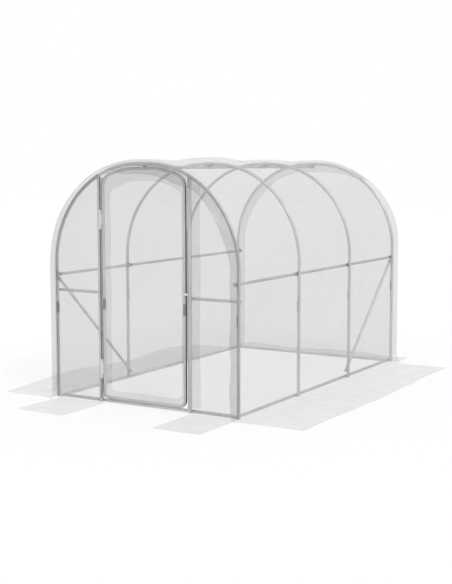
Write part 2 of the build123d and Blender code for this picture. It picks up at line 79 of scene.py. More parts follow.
camera = bpy.data.objects.new("camera", bpy.data.cameras.new("camera"))
camera.data.lens = FOCAL_PIXELS * camera.data.sensor_width / IMAGE_HIGH
camera.location = (CAMERA_ASIDE, FRONT - CAMERA_BEFORE_FRONT, CAMERA_HIGH)
camera.rotation_euler = np.radians((90 - CAMERA_TILT, 0, CAMERA_TURN))
bpy.context.collection.objects.link(camera)
bpy.context.scene.camera = camera
print(f"lens {camera.data.lens:.1f} mm")

# %% [markdown]
# ## Surfaces from arrays
# Every new piece is a grid of points worked out by a formula, so one helper turns such a
# grid into a mesh. The quads come from the grid's own numbering, with no loop over points.
# Two more helpers measure a grid: the distance along it, and its area.

# %% From a grid of points to a mesh


def grid_quads(rows, columns, ring=False):
    """Corner numbers of the quads of a grid; a ring joins its last column to its first."""
    number = np.arange(rows * columns).reshape(rows, columns)
    if ring:
        number = np.hstack([number, number[:, :1]])
    corners = number[:-1, :-1], number[1:, :-1], number[1:, 1:], number[:-1, 1:]
    return np.stack(corners, axis=-1).reshape(-1, 4)


def new_piece(name, points, quads, material, body):
    """A smooth mesh at the origin that moves with a body and takes a slot's finish."""
    mesh = bpy.data.meshes.new(name)
    mesh.from_pydata(points.reshape(-1, 3).tolist(), [], quads.tolist())
    mesh.shade_smooth()
    mesh.materials.append(material)
    piece = bpy.data.objects.new(name, mesh)
    bpy.context.collection.objects.link(piece)
    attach(piece, body)
    return piece


def run_length(points, axis):
    """Distance along a grid from its first row or column to each point."""
    steps = np.linalg.norm(np.diff(points, axis=axis), axis=-1)
    first = np.zeros_like(np.take(steps, [0], axis=axis))
    return np.cumsum(np.concatenate([first, steps], axis=axis), axis=axis)


def cut_area(points):
    """Area of a grid of points: half the cross product of each quad's diagonals."""
    across = points[1:, 1:] - points[:-1, :-1]
    other = points[:-1, 1:] - points[1:, :-1]
    return float(np.linalg.norm(np.cross(across, other), axis=-1).sum() / 2)


# %% [markdown]
# ## Finishes
# The film has one finish. The zinc has several tones: tubes, sleeves, clamps and
# hinges don't weather alike, and the darker tones at the end hoops are painted shade. Two
# effects are shared, so they are node groups: a soft cloudiness, and the crystal spangle
# that zinc forms. The groups put out plain values, and each material keeps its own shader.

# %% Helpers for node trees


def add_node(tree, kind, links=None, **values):
    """A new node with plain values on its sockets and links into others, both by name."""
    node = tree.nodes.new(kind)
    for name, value in values.items():
        node.inputs[name.replace("_", " ")].default_value = value
    for name, source in (links or {}).items():
        tree.links.new(source, node.inputs[name])
    return node


def add_math(tree, operation, *inputs):
    """The value of a new math node; each input is another node's socket or a plain number."""
    node = tree.nodes.new("ShaderNodeMath")
    node.operation = operation
    for socket, given in zip(node.inputs, inputs):
        if isinstance(given, bpy.types.NodeSocket):
            tree.links.new(given, socket)
        else:
            socket.default_value = given
    return node.outputs["Value"]


def add_group(tree, group, **values):
    """A node group placed in a tree, with plain values on its sockets."""
    node = tree.nodes.new("ShaderNodeGroup")
    node.node_tree = group
    for name, value in values.items():
        node.inputs[name].default_value = value
    return node


def new_group(name, inputs, outputs):
    """An empty node group with float sockets, and its input and output nodes."""
    group = bpy.data.node_groups.new(name, "ShaderNodeTree")
    for socket, value in inputs.items():
        made = group.interface.new_socket(socket, in_out="INPUT", socket_type="NodeSocketFloat")
        made.default_value = value
    for socket in outputs:
        group.interface.new_socket(socket, in_out="OUTPUT", socket_type="NodeSocketFloat")
    return group, group.nodes.new("NodeGroupInput"), group.nodes.new("NodeGroupOutput")


def new_material(name):
    """A new material, with its node tree and its shader."""
    material = bpy.data.materials.new(name)
    material.use_nodes = True
    return material, material.node_tree, material.node_tree.nodes["Principled BSDF"]


# %% Group: cloudiness, a slow change between two values
NOISE_LOW = 0.3
NOISE_HIGH = 0.7


def make_cloudiness():
    """Soft noise on object coordinates, mapped between a low and a high value."""
    inputs = {"Scale": 4.0, "Low": 0.0, "High": 1.0}
    group, given, result = new_group("cloudiness", inputs, ["Value"])
    place = group.nodes.new("ShaderNodeTexCoord")
    noise = add_node(
        group,
        "ShaderNodeTexNoise",
        {"Vector": place.outputs["Object"], "Scale": given.outputs["Scale"]},
        Detail=3.0,
        Roughness=0.5,
    )
    spread = add_node(
        group,
        "ShaderNodeMapRange",
        {
            "Value": noise.outputs["Fac"],
            "To Min": given.outputs["Low"],
            "To Max": given.outputs["High"],
        },
        From_Min=NOISE_LOW,
        From_Max=NOISE_HIGH,
    )
    group.links.new(spread.outputs["Result"], result.inputs["Value"])
    return group


cloudiness = make_cloudiness()


def add_cloudiness(tree, scale, low, high):
    """Place the cloudiness group in a material and return its value."""
    return add_group(tree, cloudiness, Scale=scale, Low=low, High=high).outputs["Value"]


print(f"group {cloudiness.name}")

# %% Group: spangle, the flat crystals of a zinc coat


def make_spangle():
    """Cells on object coordinates: each crystal has its own tone, and a thin seam round it."""
    inputs = {"Cells": 90.0, "Low": 0.0, "High": 1.0}
    group, given, result = new_group("spangle", inputs, ["Tone", "Seam"])
    place = group.nodes.new("ShaderNodeTexCoord")
    placed = {"Vector": place.outputs["Object"], "Scale": given.outputs["Cells"]}
    cells = add_node(group, "ShaderNodeTexVoronoi", placed)
    grey = add_node(group, "ShaderNodeRGBToBW", {"Color": cells.outputs["Color"]})
    tone = add_node(
        group,
        "ShaderNodeMapRange",
        {
            "Value": grey.outputs["Val"],
            "To Min": given.outputs["Low"],
            "To Max": given.outputs["High"],
        },
    )
    seams = group.nodes.new("ShaderNodeTexVoronoi")
    seams.feature = "DISTANCE_TO_EDGE"
    for name, source in placed.items():
        group.links.new(source, seams.inputs[name])
    group.links.new(tone.outputs["Result"], result.inputs["Tone"])
    group.links.new(seams.outputs["Distance"], result.inputs["Seam"])
    return group


spangle = make_spangle()
print(f"group {spangle.name}")

# %% [markdown]
# One function makes every tone of zinc. The front hoop and rail take a darker copy of the
# tubes' zinc, painted shade for the shaded side they show. The sleeves have the tube's tone on
# the middle hoops, and painted shade makes them darker on the end hoops, so their finish reads
# how far a point lies from the tunnel's middle.

# %% Material: galvanised tube and zinc fittings
END_SHADE_FROM = BAY
END_SHADE_FULL = 1.2 * BAY
ZINC_METALLIC = 0.9
ZINC_EDGE_TINT = (0.65, 0.65, 0.65, 1)
PATINA = {"scale": 3.0, "low": 0.9, "high": 1.08}
GLOSS_SCALE = 14.0
SEAM_BUMP = 0.08
SEAM_DEEP = 0.001
TUBE_COAT = {"cells": 110.0, "tones": (0.88, 1.06), "rough": (0.42, 0.58)}
SLEEVE_COAT = {"cells": 160.0, "tones": (0.9, 1.06), "rough": (0.4, 0.52)}
FITTING_COAT = {"cells": 240.0, "tones": (0.9, 1.08), "rough": (0.32, 0.46)}
HINGE_COAT = {"cells": 300.0, "tones": (0.94, 1.04), "rough": (0.28, 0.4)}


def shade_at_ends(tree, value, at_ends):
    """Painted shade: a value times the given tone at the two end hoops, and unchanged between
    them.
    """
    place = tree.nodes.new("ShaderNodeTexCoord")
    parts = add_node(tree, "ShaderNodeSeparateXYZ", {"Vector": place.outputs["Object"]})
    off = add_math(tree, "SUBTRACT", parts.outputs["Y"], (FRONT + BACK) / 2)
    tone = add_node(
        tree,
        "ShaderNodeMapRange",
        {"Value": add_math(tree, "ABSOLUTE", off)},
        From_Min=END_SHADE_FROM,
        From_Max=END_SHADE_FULL,
        To_Min=1.0,
        To_Max=at_ends,
    )
    return add_math(tree, "MULTIPLY", value, tone.outputs["Result"])


def zinc_finish(name, colour, cells, tones, rough, at_ends=1.0):
    """Dull zinc: crystals shift the tone, cloudiness the gloss, and seams show as fine bump."""
    material, tree, shader = new_material(name)
    shader.inputs["Metallic"].default_value = ZINC_METALLIC
    shader.inputs["Specular Tint"].default_value = ZINC_EDGE_TINT
    crystals = add_group(tree, spangle, Cells=cells, Low=tones[0], High=tones[1])
    patina = add_cloudiness(tree, **PATINA)
    tone = add_math(tree, "MULTIPLY", crystals.outputs["Tone"], patina)
    tint = tree.nodes.new("ShaderNodeVectorMath")
    tint.operation = "SCALE"
    tint.inputs[0].default_value = colour
    tree.links.new(shade_at_ends(tree, tone, at_ends), tint.inputs["Scale"])
    bump = add_node(
        tree,
        "ShaderNodeBump",
        {"Height": crystals.outputs["Seam"]},
        Strength=SEAM_BUMP,
        Distance=SEAM_DEEP,
    )
    tree.links.new(tint.outputs["Vector"], shader.inputs["Base Color"])
    tree.links.new(add_cloudiness(tree, GLOSS_SCALE, *rough), shader.inputs["Roughness"])
    tree.links.new(bump.outputs["Normal"], shader.inputs["Normal"])
    return material


tube_zinc = zinc_finish("galvanised_tube", (0.75, 0.755, 0.76), **TUBE_COAT)
# Painted shade: the front hoop and rail get the tube's zinc at a darker tone
front_shade_zinc = zinc_finish("front_shade_zinc", (0.66, 0.665, 0.67), **TUBE_COAT)
# Painted shade: the sleeves are darkened at the two end hoops
sleeve_zinc = zinc_finish("sleeve_zinc", (0.7, 0.705, 0.71), **SLEEVE_COAT, at_ends=0.5)
dull_zinc = zinc_finish("dull_zinc", (0.48, 0.485, 0.49), **SLEEVE_COAT)
fitting_zinc = zinc_finish("zinc_fittings", (0.36, 0.365, 0.37), **FITTING_COAT)
hinge_zinc = zinc_finish("bright_zinc", (0.85, 0.855, 0.86), **HINGE_COAT)
print(f"{len(bpy.data.materials)} materials so far")

# %% [markdown]
# Film is nearly clear face on. Where it is folded tightly round a tube, many layers lie edge on
# in a narrow gap that lies in shade, and that shade is painted into the film: there it is dark
# grey and less clear. A mask of this painted shade, kept on the points of each sheet, says where
# that is, so the same film serves everywhere.

# %% Material: clear film
FILM_IOR = 1.5
FILM_GREY = 0.3
FOLD_SHADE_GREY = 0.02
FOLD_SHADE_VEIL = 0.4
FILM_HAZE = {"scale": 1.3, "low": 0.093, "high": 0.105}
FILM_GLOSS = {"scale": 5.0, "low": 0.2, "high": 0.34}
FILM_CREASES = {"scale": 9.0, "low": 0.0, "high": 1.0}
CREASE_BUMP = 0.1
CREASE_DEEP = 0.004


def film_finish():
    """Clear film: a thin grey veil with slow haze, painted shade at tight folds, and shallow
    ripples.
    """
    material, tree, shader = new_material("clear_film")
    shader.inputs["IOR"].default_value = FILM_IOR
    # Painted shade: the mask turns the film dark grey and less clear in the shaded gaps at tight
    # folds
    mask = tree.nodes.new("ShaderNodeAttribute")
    mask.attribute_name = "fold_shade"
    fold_shade = mask.outputs["Fac"]
    grey = add_node(
        tree, "ShaderNodeMapRange", {"Value": fold_shade}, To_Min=FILM_GREY, To_Max=FOLD_SHADE_GREY
    )
    veil = add_math(tree, "MULTIPLY_ADD", fold_shade, FOLD_SHADE_VEIL, add_cloudiness(tree, **FILM_HAZE))
    bump = add_node(
        tree,
        "ShaderNodeBump",
        {"Height": add_cloudiness(tree, **FILM_CREASES)},
        Strength=CREASE_BUMP,
        Distance=CREASE_DEEP,
    )
    tree.links.new(grey.outputs["Result"], shader.inputs["Base Color"])
    tree.links.new(veil, shader.inputs["Alpha"])
    tree.links.new(add_cloudiness(tree, **FILM_GLOSS), shader.inputs["Roughness"])
    tree.links.new(bump.outputs["Normal"], shader.inputs["Normal"])
    return material


film = film_finish()
print(f"material {film.name}")

# %% Finish the frame's own pieces
FINISHES = {
    "leg_sleeves": sleeve_zinc,
    "purlin_clamps": dull_zinc,
    # Painted shade: the front hoop and rail take the darker copy of the tube's zinc
    "front_base_rail": front_shade_zinc,
    "front_hoop_arch": front_shade_zinc,
    "front_hoop_legs": front_shade_zinc,
    "door_sleeves": fitting_zinc,
    "latch_keeper": fitting_zinc,
    "door_latch": hinge_zinc,
    "hinge_post_leaves": hinge_zinc,
    "hinge_door_leaves": hinge_zinc,
}
for name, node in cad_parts.items():
    node.material_slots[0].material = FINISHES.get(name, tube_zinc)
print(f"{len(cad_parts)} frame pieces finished")

# %% [markdown]
# ## The cover
# On the real tunnel one wide sheet goes over all the hoops, down both walls and out over
# the ground, where soil or stones hold it. It could be a cloth simulation, but a taut film
# has a simple shape: a section carried along the tunnel. So the section is a profile with a
# direction outwards at each point, and every sag, fold and hem is a distance along it.

# %% The film's section, from the crown out to the skirt's edge
FILM = 0.0004
FILM_GAP = 0.0003
COVER_R = BEND_R + TUBE_R + FILM_GAP + FILM / 2
WALL_X = CROWN_X + COVER_R
FOLD_R = 0.018
GROUND_Z = FILM
SKIRT = 0.615


def half_section():
    """Crown, bend, wall, fold and skirt in turn.

    Each point has its place, its outward direction and its share of the crown's lift.
    """
    turn = np.linspace(np.pi / 2, 0, 49)
    foot = np.linspace(np.pi, 1.5 * np.pi, 9)[1:]
    crown_x = np.linspace(0, CROWN_X, 5)[:-1]
    wall_z = np.linspace(SPRING_Z, GROUND_Z + FOLD_R, 33)[1:]
    skirt_x = np.linspace(WALL_X + FOLD_R, WALL_X + SKIRT, 25)[1:]
    x = np.concatenate([
        crown_x,
        CROWN_X + COVER_R * np.cos(turn),
        np.full_like(wall_z, WALL_X),
        WALL_X + FOLD_R + FOLD_R * np.cos(foot),
        skirt_x,
    ])
    z = np.concatenate([
        np.full_like(crown_x, SPRING_Z + COVER_R),
        SPRING_Z + COVER_R * np.sin(turn),
        wall_z,
        GROUND_Z + FOLD_R + FOLD_R * np.sin(foot),
        np.full_like(skirt_x, GROUND_Z),
    ])
    out_x = np.concatenate([
        np.zeros_like(crown_x),
        np.cos(turn),
        np.ones_like(wall_z),
        -np.cos(foot),
        np.zeros_like(skirt_x),
    ])
    out_z = np.concatenate([
        np.ones_like(crown_x),
        np.sin(turn),
        np.zeros_like(wall_z),
        -np.sin(foot),
        np.ones_like(skirt_x),
    ])
    lift = np.clip((z - SPRING_Z) / COVER_R, 0, 1)
    return np.stack([x, z, out_x, out_z, lift], axis=1)


half = half_section()
other_half = half[:0:-1] * (-1, 1, -1, 1, 1)
section = np.vstack([other_half, half])
section_run = run_length(section[:, :2], 0)
print(f"film {section_run[-1]:.2f} wide over the hoops, {len(section)} points across")

# %% Where the film lies along the tunnel
FRONT_OVERHANG = 0.11
BACK_OVERHANG = 0.165
SKIRT_FRONT_SET = 0.02
SKIRT_BACK_SET = 0.235
CORNER_CUT = 0.12
DOOR_ROOM = 0.032
DOOR_ROOM_X = -0.455
DOOR_ROOM_WIDE = 0.1
DOOR_ROOM_LIFT = 0.5

along = np.concatenate([
    np.linspace(-FRONT_OVERHANG, 0, 13)[:-1],
    np.linspace(0, BACK - FRONT, 97)[:-1],
    np.linspace(BACK - FRONT, BACK - FRONT + BACK_OVERHANG, 17),
])
print(f"film {along[-1] - along[0]:.2f} long, {len(along)} points along")


def smooth(share):
    """Soft step from 0 to 1 with level ends."""
    share = np.clip(share, 0, 1)
    return share * share * (3 - 2 * share)


def soft_step(value, start, width):
    """Soft step from 0 to 1 that begins at the start and is complete after the width."""
    return smooth((value - start) / width)


def hinge_side(x, lift):
    """A soft share that is 1 where the open door's top corner comes close to the film's edge."""
    return np.exp(-(((x - DOOR_ROOM_X) / DOOR_ROOM_WIDE) ** 2)) * (lift > DOOR_ROOM_LIFT)


def over_ground(x, z):
    """How far out over the ground a point of the section lies: 0 on the hoops and the walls."""
    return np.clip(np.abs(x) - WALL_X, 0, None) * (z < FOLD_R)


def film_y(x, lift, reach, share):
    """Distance behind the front hoop.

    The skirts stop short at both ends with soft corners, and the front edge is cut back where
    the open door needs room.
    """
    trimmed = smooth(reach / CORNER_CUT)
    first = -FRONT_OVERHANG + SKIRT_FRONT_SET * trimmed + DOOR_ROOM * hinge_side(x, lift)
    last = along[-1] - SKIRT_BACK_SET * trimmed
    return first + (last - first) * share


# %% [markdown]
# Between the hoops the film sags a little, and over each hoop it stands proud of the tube.
# Past the end hoops it is loose: the front edge is drawn in at the walls and droops over the
# door, the back edge curls down. Each of these is a smooth curve, and they are simply added.

# %% How the crown rises and how the free edges are pulled in
CROWN_LIFTS = (0.025, 0.0175, 0.045, 0.0095, 0.0295, 0.0135, 0.026)
END_LIFT = CROWN_LIFTS[0]
FRONT_DRAW = 0.028
LEFT_EASE = 0.013
LEFT_BEND = (0, 0.6)
RIGHT_SWELL = 0.02
RIGHT_SWELL_POWER = 1.1
RIGHT_EASE = 0.012
RIGHT_BEND = (0.7, 0.2)
RIGHT_FLUTTER = (0.006, 15.0, 0.7)
DOOR_DROOP = 0.079
DROOP_LIFT = (0.74, 0.18)
DROOP_ACROSS = (-0.34, 0.22)
# Degrees round the bend, and the pull there
BACK_LEFT = ((0, 10, 30, 60, 75, 90), (0.006, 0.009, 0.042, 0.077, 0.108, 0.126))
BACK_RIGHT = ((0, 20, 50, 64, 80, 90), (0.014, 0.008, 0.025, 0.1, 0.123, 0.126))


def crown_lift(y):
    """Height of the crown over the plain section, eased from each hoop to the next mid-bay."""
    lifts = np.array(CROWN_LIFTS)
    step = np.clip(2 * y / BAY, 0, len(lifts) - 1)
    first = np.clip(np.floor(step).astype(int), 0, len(lifts) - 2)
    return lifts[first] + (lifts[first + 1] - lifts[first]) * smooth(step - first)


def front_pull(x, lift, run):
    """How far the front edge comes in.

    It is a little at the walls, more on the right bend and most over the door.
    """
    left = FRONT_DRAW - LEFT_EASE * soft_step(lift, *LEFT_BEND)
    left = left - LEFT_EASE * hinge_side(x, lift)
    right = FRONT_DRAW + RIGHT_SWELL * np.sin(np.pi * lift**RIGHT_SWELL_POWER)
    right = right - RIGHT_EASE * soft_step(lift, *RIGHT_BEND)
    tall, waves, start = RIGHT_FLUTTER
    right = right + tall * np.sin(waves * run + start) * (1 - lift)
    over_door = soft_step(lift, *DROOP_LIFT) * soft_step(x, *DROOP_ACROSS)
    return np.where(x < 0, left, right) + END_LIFT * lift + DOOR_DROOP * over_door


def back_pull(x, lift):
    """How far the back edge comes in, read from its angle round the bend."""
    turn = np.degrees(np.arcsin(lift))
    return np.where(x < 0, np.interp(turn, *BACK_LEFT), np.interp(turn, *BACK_RIGHT))


front_most = front_pull(section[:, 0], section[:, 4], section_run).max()
print(f"front edge comes in by up to {front_most:.3f}")

# %% Sags, hems and ripples as distances from the plain section
WALL_SAG = 0.006
RIPPLE = 0.0022
# Height, waves across, waves along and start of each ripple
COVER_RIPPLES = ((1.0, 5.1, 7.9, 0.0), (0.7, -8.3, 5.3, 1.0), (0.5, 13.0, 3.1, 2.0))
FRONT_CURVE = 1.7
BACK_CURVE = 2.2
STANDS_AT = 0.1
FOOT_FADE = 0.25
SKIRT_CURVE = 1.5
# Distance behind the front hoop, and how far the left skirt's edge is moved there
LEFT_SKIRT_WAVE = (
    (0, 0.5, 0.9, 1.04, 1.2, 1.5, 1.7, 1.8, 1.95, 2.3, 2.55, 2.7, 2.9, 3.05),
    (
        0.097, 0.015, -0.05, -0.058, -0.043, 0.042, 0.087,
        0.094, 0.082, 0.027, -0.003, 0.002, 0.07, 0.15,
    ),
)
# Height, waves along and crest of each wave
RIGHT_SKIRT_WAVES = ((0.014, 2.6, 1.4), (0.004, 9.0, 0.0))


def ripple_sum(table, first, second):
    """Sum of sine waves, each with its height, its waves along two directions and its start."""
    return sum(tall * np.sin(a * first + b * second + start) for tall, a, b, start in table)


def cover_surface(profile, run, share, inset):
    """Film over the hoops: the profile carried along the tunnel.

    Each point is moved along its outward direction by sag, ripples and the pull of the free
    edges, raised by its share of the crown's lift, and set in by the inset. At the foot the
    front edge's pull fades out over the skirt.
    """
    x, z, out_x, out_z, lift = (column[:, None] for column in profile.T)
    run = run[:, None]
    reach = over_ground(x, z)
    y = film_y(x, lift, reach, share)
    standing = smooth(z / STANDS_AT) * (reach == 0)
    sag = np.sin(np.pi * np.clip(y / BAY, 0, BAYS)) ** 2
    front_share = np.clip(-y / FRONT_OVERHANG, 0, 1) ** FRONT_CURVE
    back_share = np.clip((y - (BACK - FRONT)) / BACK_OVERHANG, 0, 1) ** BACK_CURVE
    pushed = (RIPPLE * ripple_sum(COVER_RIPPLES, run, y) - WALL_SAG) * sag
    pushed = pushed - front_pull(x, lift, run) * front_share
    pushed = pushed - back_pull(x, lift) * back_share
    pushed = pushed * standing - inset
    foot_pull = front_pull(x, 0 * lift, run) * front_share
    foot_pull = foot_pull * (1 - standing) * (1 - smooth(reach / FOOT_FADE))
    left_wave = np.interp(y, *LEFT_SKIRT_WAVE)
    right_wave = sum(
        tall * np.cos(waves * (y - crest)) for tall, waves, crest in RIGHT_SKIRT_WAVES
    )
    wander = np.where(x < 0, left_wave, right_wave) * (reach / SKIRT) ** SKIRT_CURVE
    return np.stack(
        np.broadcast_arrays(
            x + out_x * pushed + wander - np.sign(x) * foot_pull,
            FRONT + y,
            z + out_z * pushed + lift * crown_lift(y),
        ),
        axis=-1,
    )


def along_share(places):
    """Share of the film's length at these distances behind the front hoop."""
    return (places + FRONT_OVERHANG) / (along[-1] + FRONT_OVERHANG)


cover_points = cover_surface(section, section_run, along_share(along), 0)
print(f"cover of {cut_area(cover_points):.1f} square metres")

# %% The cover as one sheet


def film_piece(name, points, quads, body, nodes):
    """A film sheet with its real thickness, standing for the plain solids it replaces."""
    piece = new_piece(name, points, quads, film, body)
    skin = piece.modifiers.new("thickness", "SOLIDIFY")
    skin.thickness = FILM
    skin.offset = 0
    if nodes:
        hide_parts(*nodes)
    return piece


cover = film_piece(
    "cover_film",
    cover_points,
    grid_quads(*cover_points.shape[:2]),
    "tunnel",
    ["cover", "left_skirt", "right_skirt"],
)
print(f"{cover.name} has {len(cover.data.vertices)} points")

# %% [markdown]
# The loose edges at both ends are turned in and welded, so the film is double there and looks
# darker. The second layer is the same surface, set in by a few millimetres.

# %% Double hems at both ends
HEM_TOUCH = 0.0006
HEM_GAP = 0.004
HEM_CLEAR = 0.022
BACK_HEM_FROM = 0.4
upright = over_ground(section[:, 0], section[:, 1]) == 0
upright = upright & (section[:, 1] > FOLD_R + GROUND_Z)
front_hem = np.linspace(-FRONT_OVERHANG, -HEM_CLEAR, 13)
back_hem = np.linspace(BACK - FRONT + HEM_CLEAR, along[-1], 17)
for name, kept, places, from_edge in (
    ("front_edge_hem", upright, front_hem, np.linspace(0, 1, 13)),
    ("back_edge_hem", upright & (section[:, 0] > BACK_HEM_FROM), back_hem, np.linspace(1, 0, 17)),
):
    inset = HEM_TOUCH + HEM_GAP * np.sqrt(from_edge)
    points = cover_surface(section[kept], section_run[kept], along_share(places), inset)
    hem = film_piece(name, points, grid_quads(*points.shape[:2]), "tunnel", [])

# %% [markdown]
# ## The end films
# Beside the door a panel hangs from the front hoop. Its inner edge goes round the door post
# and the end of the bar behind it, and hangs loose inside as a hem. A line on plan, carried
# up to the arch, makes panel and hem in one sheet. The film is folded tightly beside the
# posts, where painted shade darkens it in the gap, and on the left panel painted shade also
# runs along the hoop for the hoop's shaded side. The back end is one flat panel.

# %% Plan line of a front panel, from the leg round the door post
POST_X = (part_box("left_door_post")[0].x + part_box("left_door_post")[1].x) / -2
SET_OUT = 0.0166 + FILM / 2
POST_STEPS = 8
HEM_STEPS = 8
HEM_BACK = 0.045
HEM_ROUND = 0.011
HEM_WIDE = 0.06
HEM_DEEP = 0.064
HEM_CURVE = 1.5
PANEL_R = BEND_R + TUBE_R


def panel_plan():
    """Plan line of the right panel: from the leg to the post, round it, and to the hem's edge."""
    turn = np.linspace(0, np.pi / 2, 25)
    flat_x = POST_X + (CROWN_X + PANEL_R - POST_X) * np.sin(turn)[::-1]
    front = np.stack([flat_x, np.full_like(flat_x, -SET_OUT)], axis=1)
    bend = np.linspace(1.5 * np.pi, np.pi, POST_STEPS + 1)[1:]
    round_post = np.stack([POST_X + SET_OUT * np.cos(bend), SET_OUT * np.sin(bend)], axis=1)
    side_y = np.linspace(0, HEM_BACK - HEM_ROUND, 5)[1:]
    side = np.stack([np.full_like(side_y, POST_X - SET_OUT), side_y], axis=1)
    corner = np.linspace(np.pi, np.pi / 2, 6)[1:]
    centre = np.array((POST_X - SET_OUT + HEM_ROUND, HEM_BACK - HEM_ROUND))
    turned = centre + HEM_ROUND * np.stack([np.cos(corner), np.sin(corner)], axis=1)
    share = np.linspace(0, 1, HEM_STEPS + 1)[1:]
    hem_x = centre[0] + share * (POST_X + HEM_WIDE - centre[0])
    hem_y = HEM_BACK + (HEM_DEEP - HEM_BACK) * share**HEM_CURVE
    hem = np.stack([hem_x, hem_y], axis=1)
    return np.vstack([front, round_post, side, turned, hem]), len(front)


plan, front_count = panel_plan()
panel_run = run_length(plan, 0)[:, None]
print(f"plan line of {len(plan)} points, {panel_run[-1, 0]:.3f} long")

# %% Heights of a front panel
PANEL_FOOT = 0.003
HEM_FOOT = 0.031
TOP_CLEAR = 0.004


def arch_height(across, radius):
    """Height of the arch of this bend radius over a place this far from the middle."""
    off = np.clip(np.abs(across) - CROWN_X, 0, radius)
    return SPRING_Z + np.sqrt(radius**2 - off**2)


plan_top = arch_height(plan[:, 0], BEND_R - TUBE_R - TOP_CLEAR)
over_hoop = arch_height(plan[:, 0], PANEL_R) - plan_top
on_front = np.arange(len(plan)) < front_count
round_post = slice(front_count, front_count + POST_STEPS)
fade = smooth(np.linspace(0, 1, POST_STEPS + 1))[1:]
plan_top[on_front] += over_hoop[on_front]
plan_top[round_post] += over_hoop[round_post] * (1 - fade)
plan_foot = np.where(on_front, PANEL_FOOT, HEM_FOOT)
up = np.sin(np.linspace(0, np.pi / 2, 81))
panel_z = plan_foot[:, None] + (plan_top - plan_foot)[:, None] * up
print(f"front panels up to {panel_z.max():.3f} high")

# %% Ripples of a front panel, and painted shade at its tight folds
# Height, waves up, waves along the plan line and start of each ripple
PANEL_RIPPLES = ((0.0016, 9.0, 7.0, 0.0), (0.0012, 17.0, -11.0, 0.0))
LOOSE_WAVE = (0.006, 6.5, 0.8)
PANEL_FOLD_SHADE = 0.42
POST_SHADE_TURN = (38, 14)
POST_SHADE_SHARE = 0.5
# Painted shade along the hoop's edge: on the left panel only, for the hoop's shaded side
EDGE_SHADES = {"left": 0.2, "right": 0.0}
EDGE_SHADE_FROM = BEND_R - 1.2 * TUBE_R
EDGE_SHADE_WIDE = 0.4 * TUBE_R

open_share = np.sin(np.pi * np.clip(panel_run / panel_run[front_count - 1], 0, 1))
panel_ripple = ripple_sum(PANEL_RIPPLES, panel_z, panel_run)
hem_start = panel_run[-HEM_STEPS - 1]
loose_share = np.clip((panel_run - hem_start) / (panel_run[-1] - hem_start), 0, 1)
tall, waves, start = LOOSE_WAVE
loose = tall * np.sin(waves * panel_z + start) * loose_share
panel_points = np.stack([
    np.broadcast_to(plan[:, :1], panel_z.shape),
    FRONT + plan[:, 1:] - np.abs(panel_ripple) * open_share + loose,
    panel_z,
], axis=-1)

from_front = np.degrees(np.arctan2(POST_X - plan[:, 0], -plan[:, 1]))
beside_post = ~on_front & (plan[:, 0] < POST_X - POST_SHADE_SHARE * SET_OUT)
# Painted shade: the film round each post is darkened where the gap beside the post lies in shade
panel_fold_shade = PANEL_FOLD_SHADE * soft_step(from_front, *POST_SHADE_TURN) * beside_post
from_centre = np.hypot(plan[:, :1] - CROWN_X, np.clip(panel_z - SPRING_Z, 0, None))
# Painted shade: the left panel's edge along the hoop is darkened for the hoop's shaded side
edge_shade = on_front[:, None] * soft_step(from_centre, EDGE_SHADE_FROM, EDGE_SHADE_WIDE)
print(f"front panels of {cut_area(panel_points):.2f} square metres each")

# %% The two front panels


def mark_fold_shade(piece, mask):
    """Keep the mask of painted shade at tight folds on the points of a sheet."""
    layer = piece.data.attributes.new("fold_shade", "FLOAT", "POINT")
    layer.data.foreach_set("value", np.ascontiguousarray(mask, dtype=np.float32).ravel())


for side, sign in (("right", 1), ("left", -1)):
    order = slice(None, None, sign)
    points = panel_points[order] * (sign, 1, 1)
    panel = film_piece(
        f"front_{side}_film",
        points,
        grid_quads(*points.shape[:2]),
        "tunnel",
        [f"front_{side}_panel", f"front_{side}_hem"],
    )
    mark_fold_shade(panel, (panel_fold_shade[:, None] + EDGE_SHADES[side] * edge_shade)[order])
    print(f"{panel.name} hung")

# %% Back panel
BACK_SLACK = 0.004
# Height, waves up, waves across and start of each ripple
BACK_RIPPLES = ((0.003, 6.0, 4.0, 0.0), (0.002, -5.0, 11.0, 0.0))

across = (CROWN_X + PANEL_R) * np.sin(np.linspace(-np.pi / 2, np.pi / 2, 73))[:, None]
back_z = PANEL_FOOT + (arch_height(across, PANEL_R) - PANEL_FOOT) * np.linspace(0, 1, 81)
back_share = np.sin(np.pi * (back_z / back_z.max(axis=1, keepdims=True)))
back_share = back_share * np.cos(across / LEG_X * np.pi / 2)
back_ripple = BACK_SLACK + ripple_sum(BACK_RIPPLES, back_z, across)
back_points = np.stack([
    np.broadcast_to(across, back_z.shape)[::-1],
    (BACK + SET_OUT + back_share * back_ripple)[::-1],
    back_z[::-1],
], axis=-1)
back_quads = grid_quads(*back_points.shape[:2])
back_film = film_piece("back_film", back_points, back_quads, "tunnel", ["back_panel"])
print(f"back panel of {cut_area(back_points):.2f} square metres")

# %% [markdown]
# ## Skirts before the ends
# At the front the skirts are two loose pieces, and none lies before the door. Each is a flat
# grid on the ground whose outer edge is let wander by a slow wave. The back skirt is one
# piece, and its wave is slower and wider.

# %% Front and back skirts
# Height, waves across, start and shift of an edge's wave
FRONT_WAVE = (0.006, 11.0, 0.5, -0.004)
BACK_WAVE = (0.06, 5.2, 0.3, -0.02)


